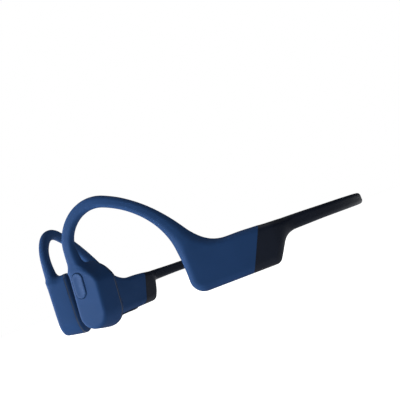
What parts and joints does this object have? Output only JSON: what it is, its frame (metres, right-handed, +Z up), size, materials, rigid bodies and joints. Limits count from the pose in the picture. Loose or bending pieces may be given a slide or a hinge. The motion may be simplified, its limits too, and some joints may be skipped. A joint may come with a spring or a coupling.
{
  "type": "bone conduction headphones",
  "caption": "Open-ear neckband headphones with ear hooks, cheekbone speaker pods and behind-ear housings on a springy band, with press buttons.",
  "frame": {"origin": "on the resting surface, under the middle of the bounding box", "axes": "+X towards the wearer's face, +Y to the wearer's left, +Z up"},
  "size_m": [0.1246, 0.1252, 0.0447],
  "materials": {
    "blue_silicone": "soft matte blue silicone",
    "pad_silicone": "matte dark silicone",
    "black_silicone": "matte black silicone",
    "button_silicone": "matte dark blue silicone",
    "light_seal": "satin grey blue",
    "case_plastic": "moulded black plastic",
    "titanium": "drawn wire",
    "cable_jacket": "matte jacket",
    "steel": "stamped steel",
    "copper": "enamelled winding",
    "magnet": "nickel plated",
    "circuit_board": "solder mask",
    "battery_foil": "laminated foil",
    "foam": "foam",
    "gold_contact": "gold plated"
  },
  "bodies": {
    "neckband": {"neckband_rear_sleeve": "black_silicone", "neckband_wire": "titanium", "neckband_cable": "cable_jacket"},
    "left_arm": {"left_arm_skin": "blue_silicone", "left_band_anchor": "case_plastic", "left_case_lid": "case_plastic", "left_case_tub": "case_plastic", "left_face_pad": "pad_silicone", "left_hook_anchor": "case_plastic", "left_hook_lead": "cable_jacket", "left_hook_wire": "titanium", "left_magnet": "magnet", "left_pod_ring": "light_seal", "left_pod_shell": "blue_silicone", "left_rear_boot": "black_silicone", "left_seam_seal": "light_seal", "left_spring_plate": "steel", "left_top_plate": "steel", "left_transducer_bracket": "case_plastic", "left_voice_coil": "copper", "left_yoke": "steel", "button_seal": "black_silicone", "button_switch": "steel", "button_board": "circuit_board", "battery": "battery_foil", "battery_pad": "foam", "protection_board": "circuit_board"},
    "multifunction_button": {"multifunction_button": "button_silicone"},
    "right_arm": {"right_arm_skin": "blue_silicone", "right_band_anchor": "case_plastic", "right_case_lid": "case_plastic", "right_case_tub": "case_plastic", "right_face_pad": "pad_silicone", "right_hook_anchor": "case_plastic", "right_hook_lead": "cable_jacket", "right_hook_wire": "titanium", "right_magnet": "magnet", "right_pod_ring": "light_seal", "right_pod_shell": "blue_silicone", "right_rear_boot": "black_silicone", "right_seam_seal": "light_seal", "right_spring_plate": "steel", "right_top_plate": "steel", "right_transducer_bracket": "case_plastic", "right_voice_coil": "copper", "right_yoke": "steel", "volume_strip": "black_silicone", "volume_switches": "steel", "volume_board": "circuit_board", "charge_bezel": "case_plastic", "charge_pins": "gold_contact", "charge_magnets": "magnet", "main_board": "circuit_board", "shield_can": "steel", "microphone": "steel", "microphone_mesh": "steel"},
    "volume_down": {"volume_down": "button_silicone"},
    "volume_up": {"volume_up": "button_silicone"}
  },
  "joints": [
    {"name": "left_arm_flex", "type": "hinge", "parent": "neckband", "child": "left_arm", "pos_m": [-0.05439, 0.03517, 0.012], "axis": [0, 0, 1], "range_deg": [-3, 25], "stiffness_Nm_per_rad": 0.2, "deforming": ["neckband_wire", "neckband_cable"]},
    {"name": "right_arm_flex", "type": "hinge", "parent": "neckband", "child": "right_arm", "pos_m": [-0.05439, -0.03517, 0.012], "axis": [0, 0, -1], "range_deg": [-3, 25], "stiffness_Nm_per_rad": 0.2, "deforming": ["neckband_wire", "neckband_cable"]},
    {"name": "multifunction_press", "type": "slide", "parent": "left_arm", "child": "multifunction_button", "axis": [-0.8192, -0.5736, 0], "range_m": [0, 0.00035], "stiffness_N_per_m": 1500},
    {"name": "volume_down_press", "type": "slide", "parent": "right_arm", "child": "volume_down", "axis": [0, 0, 1], "range_m": [0, 0.0003], "stiffness_N_per_m": 1500},
    {"name": "volume_up_press", "type": "slide", "parent": "right_arm", "child": "volume_up", "axis": [0, 0, 1], "range_m": [0, 0.0003], "stiffness_N_per_m": 1500}
  ]
}
